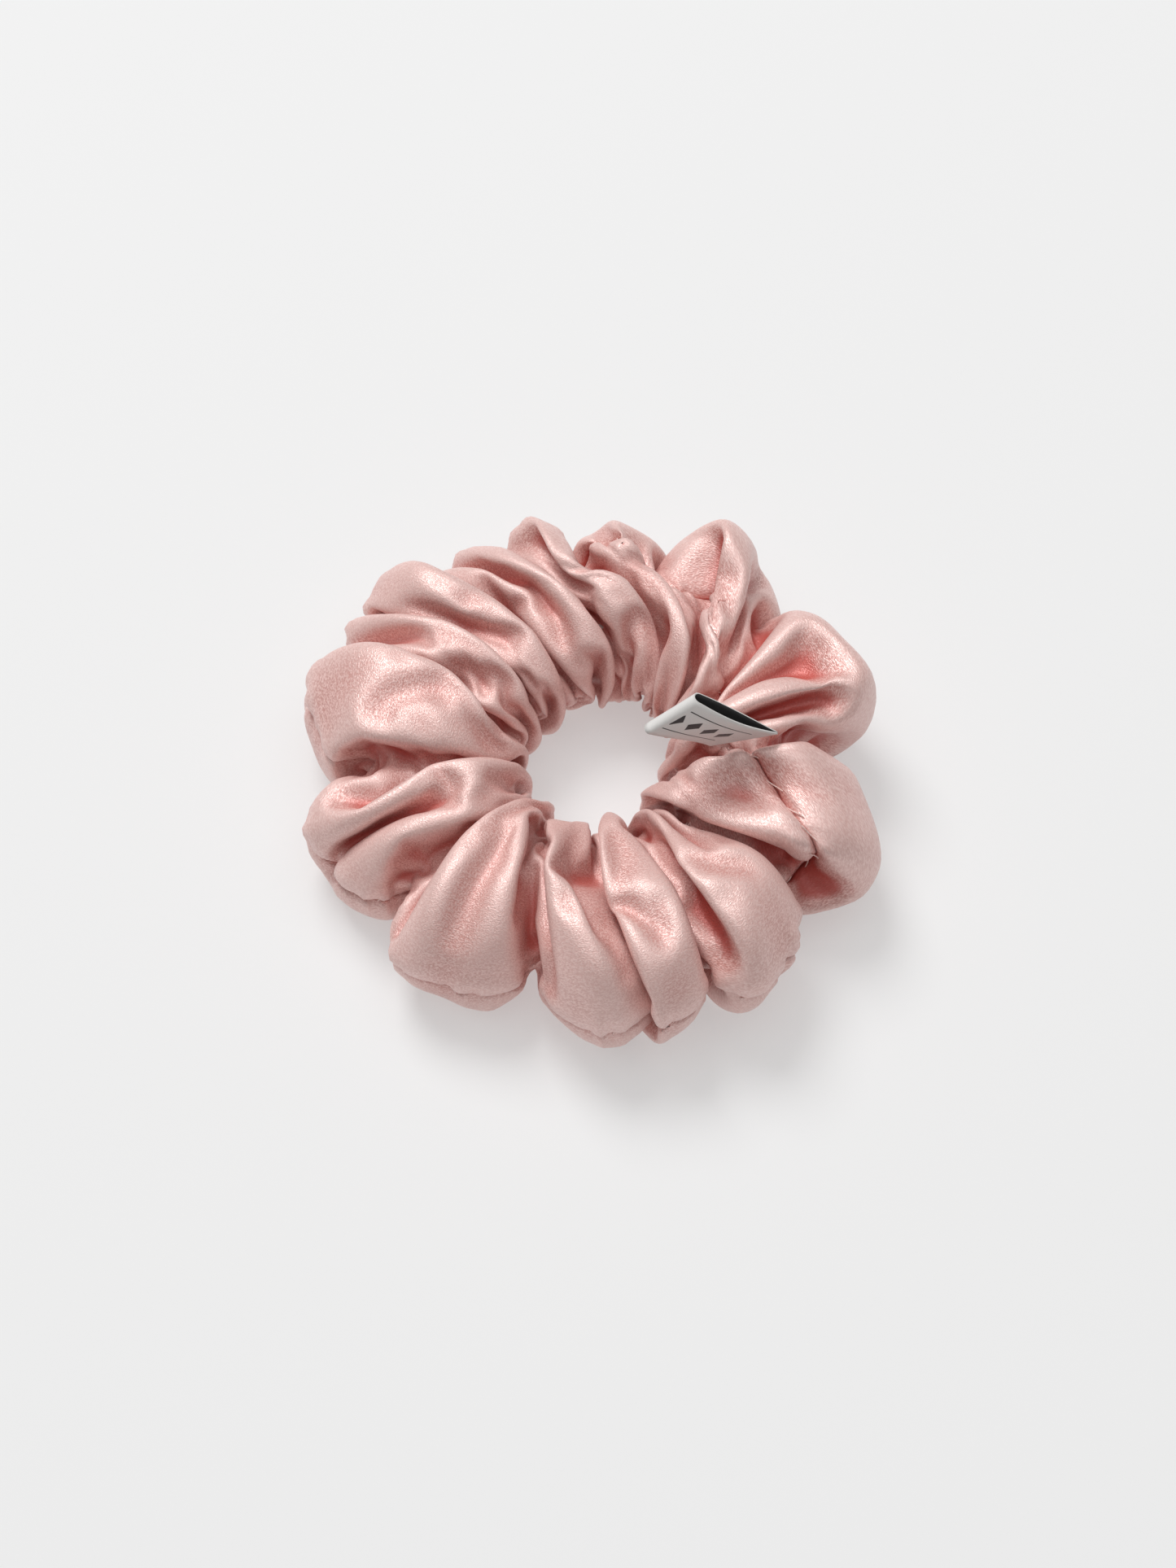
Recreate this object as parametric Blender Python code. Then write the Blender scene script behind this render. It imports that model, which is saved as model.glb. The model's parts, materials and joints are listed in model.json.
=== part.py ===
"""A satin scrunchie: a gathered satin tube round a loop of flat elastic, lying flat on a table.

The frame has +Z up, and its origin on the table under the middle of the object's box. A soft ring can't
stretch as one rigid solid, so the satin cover, which is one strip of cloth, is split on the plane x = 0
into the side with the label and the side that is pulled away from it.
"""

import math

import bmesh
import bpy
from mathutils import Vector

# Ring and fabric tube, in metres.
RING_RADIUS = 0.0340  # from the origin's axis to the middle of the fabric tube
TUBE_HALF_WIDTH = 0.0210  # half the tube's width, measured across the ring
TUBE_HEIGHT = 0.0310
TUBE_SINK = 0.0015  # how far the round section would reach below the table if it weren't flattened
TUBE_ROUNDNESS = 2.3  # exponent of the section's superellipse: 2 is an ellipse
HOLE_SHIFT = (0.0038, 0.0032)  # the hole's middle, from the middle of the object
WALL = 0.0012  # satin 0.35 mm thick, gathered to about three times its own length
SPLIT_GAP = 0.0003

# Gathers: the angle of each crown in degrees, and how far it stands past the nominal outer radius.
GATHERS = (
    (10, 0.0004),
    (37, -0.0006),
    (56, -0.0010),
    (74, 0.0004),
    (97, 0.0006),
    (121, -0.0028),
    (146, -0.0042),
    (168, 0.0004),
    (198, -0.0044),
    (231, 0.0010),
    (265, 0.0002),
    (289, 0.0030),
    (330, 0.0030),
)
GATHER_DEPTH = 0.0060  # how deep the outline dips between two crowns
GATHER_TOP_DEPTH = 0.0022  # how deep the top dips there
STATIONS_PER_GATHER = 6
SECTION_STEPS = 18

# The long seam runs along the outer edge, and climbs over the top of the tube beside the label.
SEAM_LOW = math.radians(-6)
SEAM_RISE = math.radians(112)
SEAM_RISE_AT = math.radians(18)
SEAM_RISE_SPAN = math.radians(70)
SEAM_ALLOWANCE = 0.0050
SEAM_ALLOWANCE_HALF_TURN = math.radians(1.4)  # a quarter of the allowance's foot, as a turn of the section

# The end join closes the tube into a ring. Its allowance is a rib inside.
JOIN_AT = math.radians(-44)
JOIN_ALLOWANCE = 0.0035
JOIN_HALF_TURN = math.radians(0.9)
JOIN_SLOPE_TURN = math.radians(0.5)
JOIN_THREAD_CLEAR_TURN = math.radians(14.4)  # how far the join's threads stop from the long seam

# Threads.
THREAD_DIAMETER = 0.0003
THREAD_CLEARANCE = 0.0003
LONG_SEAM_STATIONS = 90
GAP_STITCH_FROM = math.radians(-9)
GAP_STITCH_TO = math.radians(-71)
GAP_STITCH_STEPS = 30
TAIL_ROUND_RING = math.radians(3.5)
TAIL_ROUND_SECTION = math.radians(14)
TAIL_LIFT = 0.0012

# Elastic: a flat braided band whose ends overlap and are sewn together with a zigzag.
ELASTIC_RADIUS = 0.0260
ELASTIC_WIDTH = 0.0060
ELASTIC_THICKNESS = 0.0010
ELASTIC_OVERLAP = 0.0100
ELASTIC_JOIN_AT = math.radians(28)
ELASTIC_LAYER_GAP = 0.0003
ELASTIC_STEPS = 64
ZIGZAG_TURNS = 5
ZIGZAG_MARGIN = 0.0010

# Label: a ribbon folded in half, its two ends caught in the long seam.
LABEL_WIDTH = 0.0125
LABEL_LENGTH = 0.0190
LABEL_CLOTH = 0.0003
LABEL_OPENING = 0.0020  # between the two layers, at the fold
LABEL_ROOT = (0.0283, -0.0033)  # the middle of the root edge, in plan
LABEL_ROOT_LIFT = 0.0009
LABEL_SEAM_DIRECTION = Vector((0.985, 0.135, 0.110)).normalized()
LABEL_LEAN = Vector((-0.66, -0.05, 0.75)).normalized()
LABEL_FOLD_STEPS = 5

# Colours, as linear values.
ROSE = (0.66, 0.33, 0.30, 1)
ROSE_THREAD = (0.72, 0.42, 0.38, 1)
WHITE_ELASTIC = (0.78, 0.77, 0.74, 1)
WHITE_LABEL = (0.72, 0.69, 0.67, 1)

OUTER_RADIUS = RING_RADIUS + TUBE_HALF_WIDTH
HALF_HEIGHT = (TUBE_HEIGHT + TUBE_SINK) / 2
SECTION_MIDDLE_Z = TUBE_HEIGHT - HALF_HEIGHT
THREAD_RADIUS = THREAD_DIAMETER / 2
FULL_TURN = 2 * math.pi


def clear_scene():
    for obj in list(bpy.data.objects):
        bpy.data.objects.remove(obj)


def material(name, colour, roughness):
    made = bpy.data.materials.new(name)
    made.use_nodes = True
    shader = made.node_tree.nodes["Principled BSDF"]
    shader.inputs["Base Color"].default_value = colour
    shader.inputs["Roughness"].default_value = roughness
    shader.inputs["Metallic"].default_value = 0.0
    return made


def add_object(name, mesh, look):
    obj = bpy.data.objects.new(name, mesh)
    bpy.context.scene.collection.objects.link(obj)
    mesh.materials.append(look)
    return obj


# ---------------------------------------------------------------- the gathered tube


def gather_at(angle):
    """(reach, dip) at an angle round the ring: reach follows the crowns, dip is 0 on a crown and 1 in a valley."""
    degrees = math.degrees(angle) % 360
    for i, (start, reach) in enumerate(GATHERS):
        end, next_reach = GATHERS[(i + 1) % len(GATHERS)]
        span = (end - start) % 360
        along = (degrees - start) % 360
        if along < span:
            share = along / span
            return reach + (next_reach - reach) * share, math.sin(math.pi * share) ** 1.3
    return GATHERS[0][1], 0.0


def seam_turn(angle):
    """Where the long seam lies on the section: 0 is the outer edge, and 90 degrees the top."""
    away = (angle - SEAM_RISE_AT + math.pi) % FULL_TURN - math.pi
    if abs(away) >= SEAM_RISE_SPAN:
        return SEAM_LOW
    return SEAM_LOW + SEAM_RISE * math.cos(away / SEAM_RISE_SPAN * math.pi / 2) ** 2


def section_point(angle, turn, inset):
    """A point of the tube's section, that far inside its skin: (distance from the ring's axis, height)."""
    reach, dip = gather_at(angle)
    across, up = math.cos(turn), math.sin(turn)
    power = 2 / TUBE_ROUNDNESS
    if across >= 0:
        width = TUBE_HALF_WIDTH + reach - GATHER_DEPTH * dip
    else:
        width = TUBE_HALF_WIDTH - HOLE_SHIFT[0] * math.cos(angle) - HOLE_SHIFT[1] * math.sin(angle)
    height = HALF_HEIGHT - (GATHER_TOP_DEPTH * dip * max(0.0, up) ** 2)
    radius = RING_RADIUS + math.copysign(abs(across) ** power, across) * (width - inset)
    z = SECTION_MIDDLE_Z + math.copysign(abs(up) ** power, up) * (height - inset)
    return radius, max(z, inset)


def ring_point(angle, radius, z):
    return Vector((radius * math.cos(angle), radius * math.sin(angle), z))


def on_skin(angle, turn, inset):
    radius, z = section_point(angle, turn, inset)
    return ring_point(angle, radius, z)


def section_turns(angle):
    """The turns at which a section has points: four close ones for the seam allowance, then steps round the rest.

    The points opposite the seam stay where they are as the seam climbs, and those between follow it in part.
    """
    climb = seam_turn(angle) - SEAM_LOW
    turns = [SEAM_LOW + climb + k * SEAM_ALLOWANCE_HALF_TURN for k in (-2, -1, 1, 2)]
    for k in range(1, SECTION_STEPS):
        turn = FULL_TURN * k / SECTION_STEPS
        share = abs(turn - math.pi) / math.pi
        turns.append(SEAM_LOW + turn + climb * share)
    return turns


def cover_rings(angle, rib):
    """The outer and inner points of one section. The seam allowance and the join's rib stand on the inside."""
    turns = section_turns(angle)
    outer = [on_skin(angle, turn, 0) for turn in turns]
    inner = [on_skin(angle, turn, WALL + rib) for turn in turns]
    for k in (1, 2):
        inner[k] = on_skin(angle, turns[k], WALL + max(SEAM_ALLOWANCE, rib))
    return outer, inner


def angle_between(angle, low, high):
    return (angle - low) % FULL_TURN < (high - low) % FULL_TURN


def cover_stations(low, high):
    """(angle, rib depth) of each section from low to high, counted anticlockwise."""
    angles = []
    for i, (start, _) in enumerate(GATHERS):
        span = (GATHERS[(i + 1) % len(GATHERS)][0] - start) % 360
        for k in range(STATIONS_PER_GATHER):
            angles.append(math.radians(start + span * k / STATIONS_PER_GATHER))
    stations = [(angle, 0.0) for angle in angles]
    join_clear = JOIN_HALF_TURN + 2 * JOIN_SLOPE_TURN
    stations = [
        (angle, rib)
        for angle, rib in stations
        if abs((angle - JOIN_AT + math.pi) % FULL_TURN - math.pi) > join_clear
    ]
    for side in (-1, 1):
        stations.append((JOIN_AT + side * (JOIN_HALF_TURN + JOIN_SLOPE_TURN), 0.0))
        stations.append((JOIN_AT + side * JOIN_HALF_TURN, JOIN_ALLOWANCE))
    end_clear = math.radians(1)
    inside = [s for s in stations if angle_between(s[0], low + end_clear, high - end_clear)]
    inside.sort(key=lambda station: (station[0] - low) % FULL_TURN)
    return [(low, 0.0), *inside, (high, 0.0)]


def cover_part(name, low, high, shift_x, look):
    """One side of the cover: a C-shaped tube, hollow, and open where it meets the other side."""
    bm = bmesh.new()
    rings = []
    stations = cover_stations(low, high)
    for i, (angle, rib) in enumerate(stations):
        outer, inner = cover_rings(angle, rib)
        if i in (0, len(stations) - 1):
            outer = [Vector((shift_x, p.y, p.z)) for p in outer]
            inner = [Vector((shift_x, p.y, p.z)) for p in inner]
        rings.append(([bm.verts.new(p) for p in outer], [bm.verts.new(p) for p in inner]))
    count = len(rings[0][0])
    for (outer, inner), (next_outer, next_inner) in zip(rings, rings[1:]):
        for k in range(count):
            after = (k + 1) % count
            bm.faces.new((outer[k], next_outer[k], next_outer[after], outer[after]))
            bm.faces.new((inner[after], next_inner[after], next_inner[k], inner[k]))
    for outer, inner in (rings[0], rings[-1]):
        for k in range(count):
            after = (k + 1) % count
            bm.faces.new((outer[k], outer[after], inner[after], inner[k]))
    bmesh.ops.recalc_face_normals(bm, faces=bm.faces)
    mesh = bpy.data.meshes.new(name)
    bm.to_mesh(mesh)
    bm.free()
    mesh.shade_smooth()
    mesh.set_sharp_from_angle(angle=math.radians(50))
    return add_object(name, mesh, look)


# ---------------------------------------------------------------- threads


def thread(name, points, look, closed=False):
    """A thread through the points, as a round curve."""
    data = bpy.data.curves.new(name, "CURVE")
    data.dimensions = "3D"
    data.bevel_depth = THREAD_RADIUS
    data.bevel_resolution = 1
    data.use_fill_caps = True
    spline = data.splines.new("POLY")
    spline.points.add(len(points) - 1)
    for target, p in zip(spline.points, points):
        target.co = (*p, 1)
    spline.use_cyclic_u = closed
    obj = bpy.data.objects.new(name, data)
    bpy.context.scene.collection.objects.link(obj)
    data.materials.append(look)
    return obj


def beside_allowance(angle, side):
    """Where a thread of the long seam runs: on one side of the allowance, near its foot."""
    depth = WALL + THREAD_CLEARANCE + THREAD_RADIUS
    skin_radius = TUBE_HALF_WIDTH - GATHER_DEPTH - depth
    turn_clear = (THREAD_CLEARANCE + THREAD_DIAMETER) / skin_radius
    turn = seam_turn(angle) + side * (2 * SEAM_ALLOWANCE_HALF_TURN + turn_clear)
    return on_skin(angle, turn, depth + THREAD_CLEARANCE)


def long_seam_threads(look):
    for name, side in (("long_seam_needle_thread", 1), ("long_seam_bobbin_thread", -1)):
        angles = [FULL_TURN * i / LONG_SEAM_STATIONS for i in range(LONG_SEAM_STATIONS)]
        rib_turn = JOIN_HALF_TURN + 2 * JOIN_SLOPE_TURN
        points = []
        for angle in angles:
            near_rib = abs((angle - JOIN_AT + math.pi) % FULL_TURN - math.pi) < rib_turn
            if not near_rib:
                points.append((angle, beside_allowance(angle, side)))
        # The seam is sewn before the tube's ends are joined, so its threads stop at the join's rib.
        after_rib = (JOIN_AT + rib_turn) % FULL_TURN
        points.sort(key=lambda item: (item[0] - after_rib) % FULL_TURN)
        thread(name, [p for _, p in points], look)


def end_join_threads(look):
    """Two threads round the inside of the section, one on each side of the rib, from seam to seam."""
    depth = WALL + 2 * THREAD_CLEARANCE + THREAD_RADIUS
    narrowest = RING_RADIUS - TUBE_HALF_WIDTH + depth
    beside = JOIN_HALF_TURN + JOIN_SLOPE_TURN + (THREAD_CLEARANCE + THREAD_DIAMETER) / narrowest
    steps = 2 * SECTION_STEPS
    for name, side in (("end_join_needle_thread", 1), ("end_join_bobbin_thread", -1)):
        angle = JOIN_AT + side * beside
        points = []
        for i in range(steps + 1):
            turn = JOIN_THREAD_CLEAR_TURN + (FULL_TURN - 2 * JOIN_THREAD_CLEAR_TURN) * i / steps
            points.append(on_skin(angle, seam_turn(angle) + turn, depth))
        thread(name, points, look)


def gap_stitch_thread(look):
    """The hand stitching that closes the turning gap in the long seam, with a loose tail at each end."""
    lift = 2 * THREAD_CLEARANCE + THREAD_DIAMETER
    points = []
    for i in range(GAP_STITCH_STEPS + 1):
        angle = GAP_STITCH_FROM + (GAP_STITCH_TO - GAP_STITCH_FROM) * i / GAP_STITCH_STEPS
        points.append(on_skin(angle, seam_turn(angle), -lift))
    start = GAP_STITCH_FROM + TAIL_ROUND_RING
    end = GAP_STITCH_TO - TAIL_ROUND_RING
    points.insert(0, on_skin(start, seam_turn(start) - TAIL_ROUND_SECTION, -lift - TAIL_LIFT))
    points.append(on_skin(end, seam_turn(end) - TAIL_ROUND_SECTION, -lift - TAIL_LIFT))
    thread("gap_stitch_thread", points, look)


# ---------------------------------------------------------------- elastic


def elastic_point(along, face, z):
    """A point of the band: along is the angle from its first end, face the distance out from its inner face."""
    overlap_turn = ELASTIC_OVERLAP / ELASTIC_RADIUS
    layer = ELASTIC_THICKNESS + ELASTIC_LAYER_GAP
    climb = min(1.0, max(0.0, (along - (FULL_TURN - 2 * overlap_turn)) / overlap_turn))
    climb = climb * climb * (3 - 2 * climb)
    radius = ELASTIC_RADIUS + face + layer * climb
    angle = ELASTIC_JOIN_AT + along
    middle = Vector((HOLE_SHIFT[0], HOLE_SHIFT[1], 0))
    return middle + ring_point(angle, radius, z)


def elastic_z(side):
    return SECTION_MIDDLE_Z + side * ELASTIC_WIDTH / 2


def elastic_band(look):
    bm = bmesh.new()
    length = FULL_TURN + ELASTIC_OVERLAP / ELASTIC_RADIUS
    rings = []
    for i in range(ELASTIC_STEPS + 1):
        along = length * i / ELASTIC_STEPS - ELASTIC_OVERLAP / ELASTIC_RADIUS / 2
        corners = ((0, -1), (ELASTIC_THICKNESS, -1), (ELASTIC_THICKNESS, 1), (0, 1))
        rings.append([bm.verts.new(elastic_point(along, face, elastic_z(side))) for face, side in corners])
    for ring, after in zip(rings, rings[1:]):
        for k in range(4):
            n = (k + 1) % 4
            bm.faces.new((ring[k], after[k], after[n], ring[n]))
    bm.faces.new(rings[0])
    bm.faces.new(rings[-1])
    bmesh.ops.recalc_face_normals(bm, faces=bm.faces)
    mesh = bpy.data.meshes.new("elastic_band")
    bm.to_mesh(mesh)
    bm.free()
    add_object("elastic_band", mesh, look)


def elastic_join_threads(look):
    """The zigzag that holds the two ends: the needle's thread on the outside, the bobbin's on the inside."""
    half_turn = (ELASTIC_OVERLAP / 2 - ZIGZAG_MARGIN) / ELASTIC_RADIUS
    layers = 2 * ELASTIC_THICKNESS + ELASTIC_LAYER_GAP
    out = THREAD_CLEARANCE + THREAD_DIAMETER
    middle = Vector((HOLE_SHIFT[0], HOLE_SHIFT[1], 0))
    for name, radius in (
        ("elastic_join_needle_thread", ELASTIC_RADIUS + layers + out),
        ("elastic_join_bobbin_thread", ELASTIC_RADIUS - out),
    ):
        points = []
        for i in range(2 * ZIGZAG_TURNS + 1):
            angle = ELASTIC_JOIN_AT - half_turn + 2 * half_turn * i / (2 * ZIGZAG_TURNS)
            side = 1 if i % 2 else -1
            z = SECTION_MIDDLE_Z + side * (ELASTIC_WIDTH / 2 - ZIGZAG_MARGIN)
            points.append(middle + ring_point(angle, radius, z))
        thread(name, points, look)


# ---------------------------------------------------------------- label


def label_profile():
    """The folded ribbon seen along its width: (distance from the root, distance from its middle plane)."""
    half = LABEL_OPENING / 2
    outside, inside = [], []
    straight = LABEL_LENGTH - half - LABEL_CLOTH
    outside.append((0.0, LABEL_CLOTH))
    for i in range(LABEL_FOLD_STEPS + 1):
        turn = math.pi / 2 - math.pi * i / LABEL_FOLD_STEPS
        outside.append((straight + (half + LABEL_CLOTH) * math.cos(turn), (half + LABEL_CLOTH) * math.sin(turn)))
        inside.append((straight + half * math.cos(turn), half * math.sin(turn)))
    outside.append((0.0, -LABEL_CLOTH))
    pinch = 2 * LABEL_CLOTH
    return outside, [(pinch, 0.0), *inside]


def side_label(look):
    radius = math.hypot(*LABEL_ROOT)
    angle = math.atan2(LABEL_ROOT[1], LABEL_ROOT[0])
    across = (RING_RADIUS - radius) / TUBE_HALF_WIDTH
    turn = math.pi / 2 + math.asin(max(-1.0, min(1.0, across)))
    root = Vector((*LABEL_ROOT, section_point(angle, turn, 0)[1] + LABEL_ROOT_LIFT))
    normal = LABEL_SEAM_DIRECTION.cross(LABEL_LEAN).normalized()
    outside, inside = label_profile()
    bm = bmesh.new()

    def placed(point, side):
        return root + LABEL_LEAN * point[0] + normal * point[1] + LABEL_SEAM_DIRECTION * side * LABEL_WIDTH / 2

    rims = {}
    for side in (-1, 1):
        out_ring = [bm.verts.new(placed(p, side)) for p in outside]
        in_ring = [bm.verts.new(placed(p, side)) for p in inside]
        rims[side] = (out_ring, in_ring)
        edges = [
            bm.edges.new((ring[k], ring[(k + 1) % len(ring)]))
            for ring in (out_ring, in_ring)
            for k in range(len(ring))
        ]
        bmesh.ops.triangle_fill(bm, edges=edges, use_beauty=True)
    for index in (0, 1):
        near, far = rims[-1][index], rims[1][index]
        for k in range(len(near)):
            n = (k + 1) % len(near)
            bm.faces.new((near[k], near[n], far[n], far[k]))
    bmesh.ops.recalc_face_normals(bm, faces=bm.faces)
    mesh = bpy.data.meshes.new("side_label")
    bm.to_mesh(mesh)
    bm.free()
    add_object("side_label", mesh, look)


def main():
    clear_scene()
    satin = material("rose_satin", ROSE, 0.38)
    thread_look = material("rose_thread", ROSE_THREAD, 0.55)
    elastic_look = material("white_elastic", WHITE_ELASTIC, 0.8)
    label_look = material("label_ribbon", WHITE_LABEL, 0.5)
    quarter = math.pi / 2
    cover_part("cover_seam_side", -quarter, quarter, SPLIT_GAP / 2, satin)
    cover_part("cover_far_side", quarter, 3 * quarter, -SPLIT_GAP / 2, satin)
    elastic_band(elastic_look)
    elastic_join_threads(thread_look)
    long_seam_threads(thread_look)
    end_join_threads(thread_look)
    gap_stitch_thread(thread_look)
    side_label(label_look)


main()
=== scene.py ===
"""A satin scrunchie: a gathered tube of rose satin round a loop of flat elastic, with a folded label.

The satin is gathered by a cloth simulation that does what the maker does. It starts as a wide, slack ring
of sewn tube and draws the inner line in to the length of the elastic, between a table and a pressing board.
"""

import json
import math

import bmesh
import bpy
import numpy as np
from mathutils import Matrix, Vector


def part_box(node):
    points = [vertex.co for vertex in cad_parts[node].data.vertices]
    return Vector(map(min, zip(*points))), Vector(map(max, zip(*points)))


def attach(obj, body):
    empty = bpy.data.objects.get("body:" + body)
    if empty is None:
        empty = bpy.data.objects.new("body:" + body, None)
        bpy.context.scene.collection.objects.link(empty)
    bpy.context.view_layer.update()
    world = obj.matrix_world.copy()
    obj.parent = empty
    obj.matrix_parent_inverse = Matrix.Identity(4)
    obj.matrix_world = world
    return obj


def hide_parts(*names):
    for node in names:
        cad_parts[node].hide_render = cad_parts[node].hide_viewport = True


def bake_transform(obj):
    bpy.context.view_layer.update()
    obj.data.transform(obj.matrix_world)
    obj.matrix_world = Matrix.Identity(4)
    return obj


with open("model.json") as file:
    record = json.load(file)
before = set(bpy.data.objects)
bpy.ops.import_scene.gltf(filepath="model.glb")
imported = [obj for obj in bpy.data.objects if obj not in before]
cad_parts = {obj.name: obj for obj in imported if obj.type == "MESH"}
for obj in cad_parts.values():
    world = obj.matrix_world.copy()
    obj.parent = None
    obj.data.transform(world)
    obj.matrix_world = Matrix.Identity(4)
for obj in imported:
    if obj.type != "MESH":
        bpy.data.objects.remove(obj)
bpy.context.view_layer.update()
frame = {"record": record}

FULL_TURN = 2 * math.pi

# Satin strip, as sewn into a tube, in metres.
CLOTH_LENGTH = 0.520
CLOTH_ROUND = 0.115
SEAM_ALLOWANCE = 0.005
CLOTH_CUT = CLOTH_ROUND + 2 * SEAM_ALLOWANCE
GRID_ALONG = 310
GRID_ROUND = 56
WIDE_ROWS = 46

# Each gather: its crown's angle in degrees at the outer edge and at the opening, its share of the
# cloth, and how deeply its crown is dented at the outer edge. They are listed anticlockwise from the
# join of the tube's ends.
GATHERS = (
    (-30, -27, 1.0, 0.0),
    (10, 4, 1.05, 0.12),
    (41, 22, 0.9, 0.0),
    (57, 40, 0.9, 0.15),
    (73, 58, 1.1, 0.0),
    (97, 86, 1.3, 0.34),
    (122, 122, 1.2, 0.1),
    (147, 150, 1.2, 0.25),
    (168.5, 176, 1.1, 0.0),
    (203, 205, 1.3, 0.3),
    (234, 232, 1.3, 0.3),
    (262, 252, 0.9, 0.0),
    (277, 275, 0.8, 0.12),
    (300, 303, 0.9, 0.0),
)

# The long seam climbs from the outer edge over the top of the tube beside the label.
SEAM_LOW = math.radians(-6)
SEAM_RISE = math.radians(112)
SEAM_RISE_AT = math.radians(18)
SEAM_RISE_SPAN = math.radians(70)

# Simulation. It runs at ten times life size, where the solver's own limits are small beside the cloth.
LARGER = 10.0
DRAWN_RADIUS = 0.0180
HELD_SPAN = 1.3
DRAWN_HEIGHT = 0.0120
START_WAVE = 0.42
START_LIFT = 0.003
DENT_REACH = 0.7
START_UNEVEN = 0.0003
UNEVEN_SEED = 1
DRAW_FRAMES = 50
REST_FRAMES = 14
BOARD_HIGH = 0.075
BOARD_LOW = 0.030
BOARD_LIFTED = 0.035
BOARD_STARTS = 10
BOARD_LEAVES = 6
PUFF = 1.0
COLLIDER_SKIN = 0.005
BAND_RADIUS = 0.0265
BAND_HALF_THICKNESS = 0.0014
BAND_HALF_HEIGHT = 0.0036

# Sewing, in metres.
SEAM_OPEN = 0.00012
FLAP_DROP = 0.0004
FLAP_CLEAR = 0.0002
SEAM_SINK = 0.0015
SEAM_RIDGE = 0.0006
SEAM_RIDGE_FALLS = (0.0042, 0.0056)
SEAM_SINK_REACH = 0.0011
SEAM_PUCKER = 0.00036
PUCKER_WIDTH = 0.0062
PUCKER_REACH = 0.0042
SWAY_LONG = 0.0170
SWAY_SHORT = 0.0110
HAND_PUCKER = 0.8
JOIN_SINK = 0.0008
JOIN_SINK_REACH = 0.0010
JOIN_RIDGE = 0.0003
JOIN_ALLOWANCE = 0.0035
FINE_CREASE = 0.0006
BROAD_CREASE = 0.0030
STITCH_LENGTH = 0.0027
THREAD_DIAMETER = 0.00026
GAP_FROM = math.radians(-9)
GAP_TO = math.radians(-71)
HAND_STITCH = 0.0034
TAIL_LENGTH = 0.0060
# The reach of one visible stitch: along the strip, and round the tube.
SEAM_STITCH = (0.0005, 0.0011)
JOIN_STITCH = (0.0010, 0.0005)
SLANTED_STITCH = (0.0017, 0.0019)
SLANTED_LIFT = 0.0002
STITCH_DIP = 0.0004
# The bobbin's thread lies inside the tube, beside the stitch line.
BOBBIN_ASIDE = 0.0012
SEAM_BOBBIN_DEPTH = 0.0016
JOIN_BOBBIN_DEPTH = 0.0012
BOBBIN_WAVE = 0.00012

# Elastic, in metres.
ELASTIC_RADIUS = 0.0260
ELASTIC_WIDTH = 0.0060
ELASTIC_LENGTH = 0.170
ELASTIC_THICKNESS = 0.0010
ELASTIC_OVERLAP = 0.0100
ELASTIC_LAYER_GAP = 0.0003
ELASTIC_JOIN_AT = math.radians(28)
ELASTIC_HEIGHT = 0.01475
ELASTIC_RIB = 0.00008
ZIGZAG_TURNS = 5
ZIGZAG_MARGIN = 0.0010
THREAD_LIFT = 0.00015

# Label: a ribbon folded in half, in metres.
LABEL_WIDTH = 0.0125
LABEL_LENGTH = 0.0190
LABEL_CLOTH = 0.0003
LABEL_OPENING = 0.0018
LABEL_ROOT = Vector((0.0283, -0.0033, 0.0311))
LABEL_SEAM_DIRECTION = Vector((0.985, 0.135, 0.110)).normalized()
LABEL_LEAN = Vector((-0.66, -0.05, 0.75)).normalized()
LABEL_DROOP = Vector((0.0004, -0.0022, -0.0032))
LABEL_SWING = Vector((-0.0030, 0.0004, -0.0006))
LABEL_BOW = 0.0009
LABEL_LEAST_BOW = 0.0004
LABEL_FREE_FROM = 0.08
LABEL_SUNK = 0.0006
LABEL_REACH = 0.0075
PRESS_CLEAR = 0.0010
PRESS_SLOPE = 0.5
PRESS_BASE = 0.0190
SEAM_BEND_REACH = 0.032


# ---------------------------------------------------------------- shader building


class Signal:
    """A number that a shader node gives, with Python's arithmetic."""

    def __init__(self, shader, socket):
        self.shader = shader
        self.socket = socket

    def maths(self, operation, *others):
        node = self.shader.node("ShaderNodeMath", {"operation": operation}, (self, *others))
        return Signal(self.shader, node.outputs[0])

    def __add__(self, other):
        return self.maths("ADD", other)

    def __mul__(self, other):
        return self.maths("MULTIPLY", other)

    def __sub__(self, other):
        return self.maths("SUBTRACT", other)

    def __rsub__(self, other):
        return (self * -1) + other

    __radd__ = __add__
    __rmul__ = __mul__

    def wrapped(self):
        return self.maths("FRACT")

    def size(self):
        return self.maths("ABSOLUTE")

    def between(self, low, high):
        """0 at or below low, 1 at or above high, and smooth in between."""
        node = self.shader.node(
            "ShaderNodeMapRange", {"interpolation_type": "SMOOTHSTEP"}, (self, low, high, 0.0, 1.0)
        )
        return Signal(self.shader, node.outputs[0])


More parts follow.
